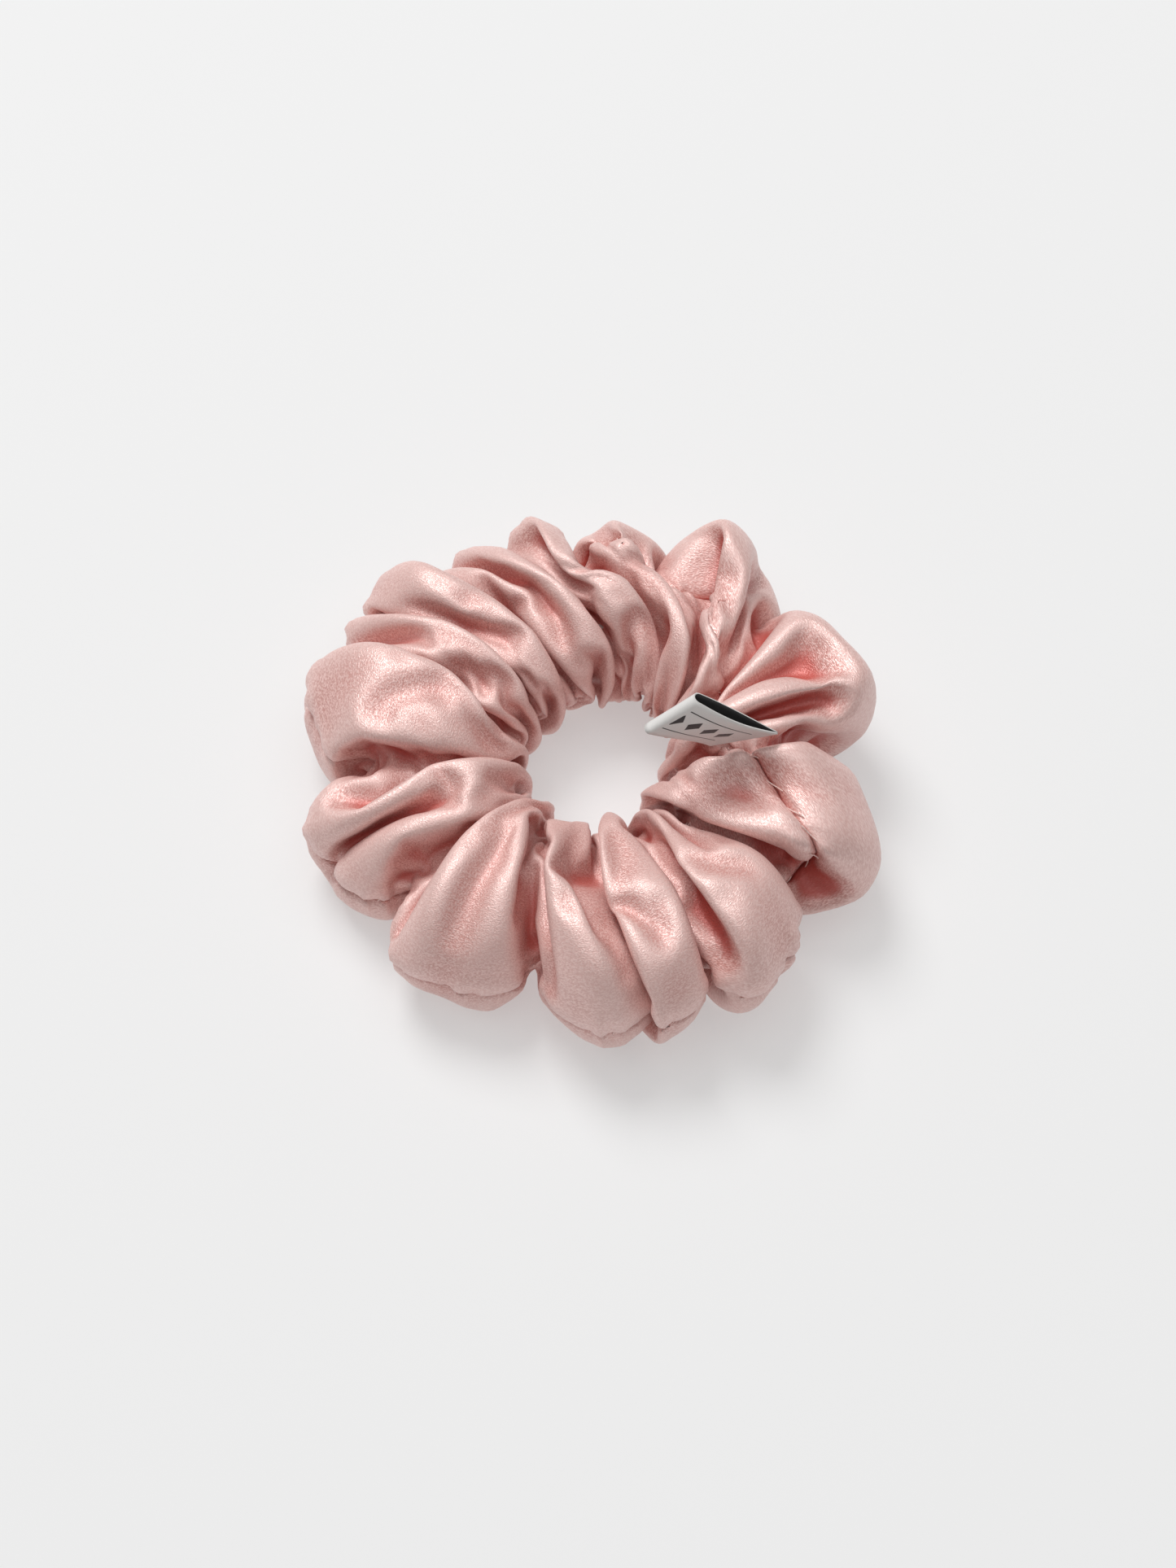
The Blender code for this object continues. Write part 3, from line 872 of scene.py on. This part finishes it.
def hollows(points):
    """How deep each point of a grid lies in a crease, up to 1, or how high on a fold, down to -1."""
    one = np.roll(points, -1, 0) - np.roll(points, 1, 0)
    other = np.gradient(points, axis=1)
    normal = np.cross(one, other)
    normal = normal / np.maximum(np.linalg.norm(normal, axis=-1, keepdims=True), 1e-12)

    def averaged(values, steps):
        for _ in range(steps):
            padded = np.pad(values, ((0, 0), (1, 1), (0, 0)), "edge")
            values = (np.roll(values, 1, 0) + np.roll(values, -1, 0) + padded[:, 2:] + padded[:, :-2]) / 4
        return values

    fine = ((averaged(points, 4) - points) * normal).sum(-1, keepdims=True)
    broad = ((averaged(points, 24) - points) * normal).sum(-1, keepdims=True)
    fine_share = np.clip(fine / FINE_CREASE, -1, 1)
    broad_share = np.clip(broad / BROAD_CREASE, -1, 1)
    depth = averaged(fine_share * 0.4 + broad_share * 0.6, 2)
    return depth[..., 0]


def satin_cover(cloth, look):
    """The satin strip, sewn into a tube and joined end to end, with its allowances inside."""
    rows = row_places()
    columns = 2 * GRID_ALONG
    bm = bmesh.new()
    bm.loops.layers.uv.new("cloth")
    bmesh.ops.create_grid(bm, x_segments=columns, y_segments=len(rows) - 1, size=0.5, calc_uvs=True)
    places = np.array([(v.co.x + 0.5, v.co.y + 0.5) for v in bm.verts])
    column = np.rint(places[:, 0] * columns).astype(int)
    row = np.rint(places[:, 1] * (len(rows) - 1)).astype(int)
    uv = bm.loops.layers.uv.active
    for face in bm.faces:
        for loop in face.loops:
            k = loop.vert.index
            loop[uv].uv = (column[k] / columns, rows[row[k]] / CLOTH_CUT)
    along, across = np.meshgrid(np.arange(columns) / columns, rows, indexing="ij")
    grid = cover_points(cloth, along, across)
    # The crease depth is kept on the vertices as "fold". The satin paints shade into the creases and a
    # highlight onto the ridges with it.
    crease = hollows(grid)
    depth = bm.verts.layers.float.new("fold")
    bm.verts.ensure_lookup_table()
    for k, vert in enumerate(bm.verts):
        vert.co = grid[column[k] % columns, row[k]]
        vert[depth] = crease[column[k] % columns, row[k]]
    bmesh.ops.remove_doubles(bm, verts=bm.verts, dist=0.000001)
    mesh = mesh_of("satin_cover", bm)
    mesh.shade_smooth()
    return new_object("satin_cover", mesh, look)


def opening_middle():
    """The middle of the room that the frame keeps open for the hair."""
    opening = frame["record"]["physics"]["openings"][0]["box_m"]
    return [(a + b) / 2 for a, b in zip(*opening)]


def settled_cloth():
    """The cover's cloth after gathering, fitted to the room that the frame gives it."""
    low_a, high_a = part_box("cover_seam_side")
    low_b, high_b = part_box("cover_far_side")
    low = [min(a, b) for a, b in zip(low_a, low_b)]
    high = [max(a, b) for a, b in zip(high_a, high_b)]
    helper = new_object("cloth_helper", cover_grid())
    settled = gathered(helper, opening_middle())
    cloth = SewnCloth(helper.data, fitted(settled, low, high))
    cloth.meet_label()
    cloth.give_way(label_laid_over())
    bpy.data.objects.remove(helper)
    return cloth


# ---------------------------------------------------------------- threads


def thread_piece(name, runs, look, diameter=THREAD_DIAMETER):
    """Lengths of thread as one mesh. Each run is a list of points that the thread passes through."""
    curve = bpy.data.curves.new(name, "CURVE")
    curve.dimensions = "3D"
    curve.bevel_depth = diameter / 2
    curve.bevel_resolution = 1
    curve.use_fill_caps = True
    curve.resolution_u = 2
    for run in runs:
        spline = curve.splines.new("NURBS")
        spline.points.add(len(run) - 1)
        for point, place in zip(spline.points, run):
            point.co = (*place, 1)
        spline.order_u = 3
        spline.use_endpoint_u = True
    helper = bpy.data.objects.new(name + "_path", curve)
    bpy.context.scene.collection.objects.link(helper)
    mesh = evaluated_mesh(helper)
    bpy.data.objects.remove(helper)
    mesh.name = name
    mesh.shade_smooth()
    mesh.materials.clear()
    return new_object(name, mesh, look)


def stitch_over(cloth, along, around, reach, lift=THREAD_LIFT):
    """One visible stitch: it comes out of the cloth, crosses the seam and goes back in."""
    share = np.array([-0.5, -0.42, -0.2, 0.2, 0.42, 0.5])
    raised = np.array([-STITCH_DIP, 0.0, lift, lift, 0.0, -STITCH_DIP])
    step_along, step_around = reach[0] / CLOTH_LENGTH, reach[1] / CLOTH_ROUND
    return cloth.at(along + share * step_along, around + share * step_around, raised)


def long_seam_threads(cloth, look):
    count = int(CLOTH_LENGTH / STITCH_LENGTH)
    gap_low, gap_high = cloth.along_at(GAP_TO), cloth.along_at(GAP_FROM)
    stitches = []
    for k in range(count):
        along = (k + 0.5) / count
        by_hand = (along - gap_low) % 1 < (gap_high - gap_low) % 1
        if not by_hand:
            stitches.append(stitch_over(cloth, along, 0.0, SEAM_STITCH))
    needle = thread_piece("long_seam_needle_stitches", stitches, look)
    along = np.linspace(0.004, 0.996, 2 * count)
    inside = np.full_like(along, BOBBIN_ASIDE / CLOTH_ROUND)
    wave = -SEAM_BOBBIN_DEPTH + BOBBIN_WAVE * np.cos(np.arange(len(along)) * math.pi)
    bobbin = thread_piece("long_seam_bobbin_stitches", [cloth.at(along, inside, wave)], look)
    return needle, bobbin


def end_join_threads(cloth, look):
    count = int(CLOTH_ROUND / STITCH_LENGTH)
    stitches = []
    for k in range(1, count):
        stitches.append(stitch_over(cloth, 0.0, k / count, JOIN_STITCH))
    needle = thread_piece("end_join_needle_stitches", stitches, look)
    around = np.linspace(0.02, 0.98, 2 * count)
    inside = np.full_like(around, BOBBIN_ASIDE / CLOTH_LENGTH)
    wave = -JOIN_BOBBIN_DEPTH + BOBBIN_WAVE * np.cos(np.arange(len(around)) * math.pi)
    bobbin = thread_piece("end_join_bobbin_stitches", [cloth.at(inside, around, wave)], look)
    return needle, bobbin


def hand_stitches(cloth, look):
    """The slanted stitches that close the turning gap, each end of their thread left loose on the cloth."""
    low, high = cloth.along_at(GAP_TO), cloth.along_at(GAP_FROM)
    span = (high - low) % 1
    count = int(span * CLOTH_LENGTH / HAND_STITCH)
    runs = []
    for k in range(count + 1):
        along = low + span * k / count
        runs.append(stitch_over(cloth, along, 0.0, SLANTED_STITCH, SLANTED_LIFT))
    for along, turn_along, turn_around in ((high, 0.35, -1.0), (low, -0.5, -0.7)):
        share = np.linspace(0, 1, 7)
        reach_along = (turn_along * share + 0.25 * np.sin(share * 5)) * TAIL_LENGTH / CLOTH_LENGTH
        reach_around = turn_around * share * TAIL_LENGTH / CLOTH_ROUND
        raised = np.array([-STITCH_DIP, 0.0005, 0.0011, 0.0014, 0.0013, 0.0010, 0.0012])
        runs.append(cloth.at(along + reach_along, reach_around, raised))
    return thread_piece("hand_stitches", runs, look)


# ---------------------------------------------------------------- elastic


def elastic_point(hole, along, face, height):
    """A point of the band, at an angle from its first end and a distance out from its inner face."""
    overlap = ELASTIC_OVERLAP / ELASTIC_RADIUS
    climb = ease(along, FULL_TURN - 2 * overlap, FULL_TURN - overlap)
    radius = ELASTIC_RADIUS + face + (ELASTIC_THICKNESS + ELASTIC_LAYER_GAP) * climb
    angle = ELASTIC_JOIN_AT + along
    return Vector((hole[0] + radius * math.cos(angle), hole[1] + radius * math.sin(angle), height))


def elastic_loop(hole, look):
    """Flat braided elastic, its ends lapped over each other."""
    overlap = ELASTIC_OVERLAP / ELASTIC_RADIUS
    bm = bmesh.new()
    bm.loops.layers.uv.new("cloth")
    bmesh.ops.create_grid(bm, x_segments=260, y_segments=12, size=0.5, calc_uvs=True)
    for vert in bm.verts:
        along = (vert.co.x + 0.5) * (FULL_TURN + overlap) - overlap / 2
        rib = ELASTIC_RIB * math.cos(vert.co.y * FULL_TURN * 4)
        height = ELASTIC_HEIGHT + vert.co.y * ELASTIC_WIDTH
        vert.co = elastic_point(hole, along, ELASTIC_THICKNESS + rib, height)
    mesh = mesh_of("elastic_loop", bm)
    mesh.shade_smooth()
    band = new_object("elastic_loop", mesh, look)
    wall = band.modifiers.new("thickness", "SOLIDIFY")
    wall.thickness = ELASTIC_THICKNESS
    wall.offset = -1
    rounded = band.modifiers.new("soft_edges", "BEVEL")
    rounded.width = 0.0002
    rounded.segments = 2
    rounded.limit_method = "ANGLE"
    return band


def elastic_join_threads(hole, look):
    """The zigzag that holds the two ends: the needle's thread outside, the bobbin's inside."""
    half = (ELASTIC_OVERLAP / 2 - ZIGZAG_MARGIN) / ELASTIC_RADIUS
    layers = 2 * ELASTIC_THICKNESS + ELASTIC_LAYER_GAP
    made = []
    for name, face in (("elastic_needle_zigzag", layers + 0.0001), ("elastic_bobbin_zigzag", -0.0001)):
        points = []
        for i in range(4 * ZIGZAG_TURNS + 1):
            angle = ELASTIC_JOIN_AT - half + 2 * half * i / (4 * ZIGZAG_TURNS)
            side = (0, 1, 0, -1)[i % 4]
            radius = ELASTIC_RADIUS + face
            height = ELASTIC_HEIGHT + side * (ELASTIC_WIDTH / 2 - ZIGZAG_MARGIN)
            points.append((hole[0] + radius * math.cos(angle), hole[1] + radius * math.sin(angle), height))
        made.append(thread_piece(name, [points], look))
    return made


# ---------------------------------------------------------------- label


def label_path(share, open_side):
    """The folded ribbon seen from its side: (distance from the root, distance from its middle plane).

    The face bows out more towards the open side that the camera sees into, where open_side is 1.
    """
    half = LABEL_OPENING / 2
    straight = LABEL_LENGTH - half - LABEL_CLOTH
    fold = math.pi * (half + LABEL_CLOTH)
    length = 2 * straight + fold
    far = share * length
    if straight < far < straight + fold:
        turn = math.pi / 2 - (far - straight) / (half + LABEL_CLOTH)
        return straight + (half + LABEL_CLOTH) * math.cos(turn), (half + LABEL_CLOTH) * math.sin(turn)
    side = 1 if far <= straight else -1
    distance = far if side > 0 else length - far
    part = distance / straight
    spread = part * part * (3 - 2 * part)
    bow = (LABEL_LEAST_BOW + LABEL_BOW * open_side) * math.sin(math.pi * part) if side > 0 else 0.0
    return distance, side * (LABEL_CLOTH + half * spread) + bow


def label_place(share, across):
    """A point of the ribbon: share runs along it from end to end, and across from -0.5 to 0.5."""
    normal = LABEL_SEAM_DIRECTION.cross(LABEL_LEAN).normalized()
    distance, offset = label_path(share, across + 0.5)
    curl = (distance / LABEL_LENGTH) ** 1.5
    lean = LABEL_LEAN * distance + normal * offset
    lean += (LABEL_DROOP * (0.5 - across) + LABEL_SWING * (0.5 + across)) * curl
    return LABEL_ROOT + lean + LABEL_SEAM_DIRECTION * across * LABEL_WIDTH


def label_laid_over():
    """Points of the label where it lies once its joint has turned it as far as it goes, over the cloth."""
    joint = next(j for j in frame["record"]["behaviour"]["joints"] if j["name"] == "label_flap")
    turn = Matrix.Rotation(math.radians(joint["range_deg"][1]), 3, Vector(joint["axis"]))
    pivot = Vector(joint["pos_m"])
    shares = np.linspace(LABEL_FREE_FROM, 1 - LABEL_FREE_FROM, 43)
    places = [label_place(share, across) for share in shares for across in np.linspace(-0.5, 0.5, 9)]
    return np.array([pivot + turn @ (place - pivot) for place in places])


def side_label(face_look, reverse_look):
    bm = bmesh.new()
    bm.loops.layers.uv.new("cloth")
    bmesh.ops.create_grid(bm, x_segments=96, y_segments=12, size=0.5, calc_uvs=True)
    for vert in bm.verts:
        vert.co = label_place(vert.co.x + 0.5, vert.co.y)
    bmesh.ops.reverse_faces(bm, faces=bm.faces)
    mesh = mesh_of("side_label", bm)
    mesh.shade_smooth()
    label = new_object("folded_label", mesh, face_look, reverse_look)
    wall = label.modifiers.new("thickness", "SOLIDIFY")
    wall.thickness = LABEL_CLOTH
    wall.offset = -1
    wall.material_offset = 1
    return label


# ---------------------------------------------------------------- stage


FLOOR_WHITE = 0.50
FLOOR_GLOW = 0.38
WORLD_LIGHT = 0.18
OVERHEAD_PLACE = (0.0, 0.1, 2.0)
OVERHEAD_SIZE = 2.8
OVERHEAD_POWER = 19.0
KEY_PLACE = (-0.7, 1.25, 2.05)
KEY_SIZE = 1.3
KEY_POWER = 36.0


def stage_and_light():
    floor_look = Shader(
        "pale_paper", (FLOOR_WHITE, FLOOR_WHITE, FLOOR_WHITE), 0.9,
        Specular_IOR_Level=0.0, Emission_Color=(1, 1, 1, 1), Emission_Strength=FLOOR_GLOW,
    )
    bm = bmesh.new()
    bmesh.ops.create_grid(bm, x_segments=1, y_segments=1, size=3.0)
    floor = new_object("floor", mesh_of("floor", bm), floor_look.material)
    world = bpy.data.worlds.new("studio")
    world.use_nodes = True
    bpy.context.scene.world = world
    world.node_tree.nodes["Background"].inputs["Color"].default_value = (1, 1, 1, 1)
    world.node_tree.nodes["Background"].inputs["Strength"].default_value = WORLD_LIGHT
    soft_light("overhead", OVERHEAD_PLACE, OVERHEAD_SIZE, OVERHEAD_POWER)
    soft_light("key", KEY_PLACE, KEY_SIZE, KEY_POWER)


def soft_light(name, place, size, power):
    data = bpy.data.lights.new(name, "AREA")
    data.shape = "DISK"
    data.size = size
    data.energy = power
    light = bpy.data.objects.new(name, data)
    bpy.context.scene.collection.objects.link(light)
    light.location = place
    light.rotation_euler = (-Vector(place)).to_track_quat("-Z", "Y").to_euler()


CAMERA_DISTANCE = 0.60
CAMERA_ELEVATION = math.radians(60)
CAMERA_LENS = 73.2
CAMERA_AIM_HEIGHT = 0.009


def camera():
    data = bpy.data.cameras.new("camera")
    data.lens = CAMERA_LENS
    view = bpy.data.objects.new("camera", data)
    bpy.context.scene.collection.objects.link(view)
    aim = Vector((0, 0, CAMERA_AIM_HEIGHT))
    back = Vector((0, -math.cos(CAMERA_ELEVATION), math.sin(CAMERA_ELEVATION)))
    view.location = aim + back * CAMERA_DISTANCE
    view.rotation_euler = (-back).to_track_quat("-Z", "Y").to_euler()
    bpy.context.scene.camera = view


def main():
    camera()
    stage_and_light()
    bpy.context.scene.view_settings.view_transform = "Standard"
    hole = opening_middle()
    thread = rose_thread()
    cloth = settled_cloth()
    cover = satin_cover(cloth, rose_satin())
    seam_needle, seam_bobbin = long_seam_threads(cloth, thread)
    join_needle, join_bobbin = end_join_threads(cloth, thread)
    by_hand = hand_stitches(cloth, thread)
    elastic = elastic_loop(hole, white_elastic())
    zigzag_needle, zigzag_bobbin = elastic_join_threads(hole, thread)
    soft = (
        (cover, "rose_satin", ("cover_seam_side", "cover_far_side")),
        (elastic, "white_elastic", ("elastic_band",)),
        (zigzag_needle, "rose_thread", ("elastic_join_needle_thread",)),
        (zigzag_bobbin, "rose_thread", ("elastic_join_bobbin_thread",)),
        (seam_needle, "rose_thread", ("long_seam_needle_thread",)),
        (seam_bobbin, "rose_thread", ("long_seam_bobbin_thread",)),
        (join_needle, "rose_thread", ("end_join_needle_thread",)),
        (join_bobbin, "rose_thread", ("end_join_bobbin_thread",)),
        (by_hand, "rose_thread", ("gap_stitch_thread",)),
    )
    for piece, slot, nodes in soft:
        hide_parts(*nodes)
        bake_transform(piece)
    label = side_label(label_front(), label_back())
    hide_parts("side_label")
    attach(label, "label")


main()
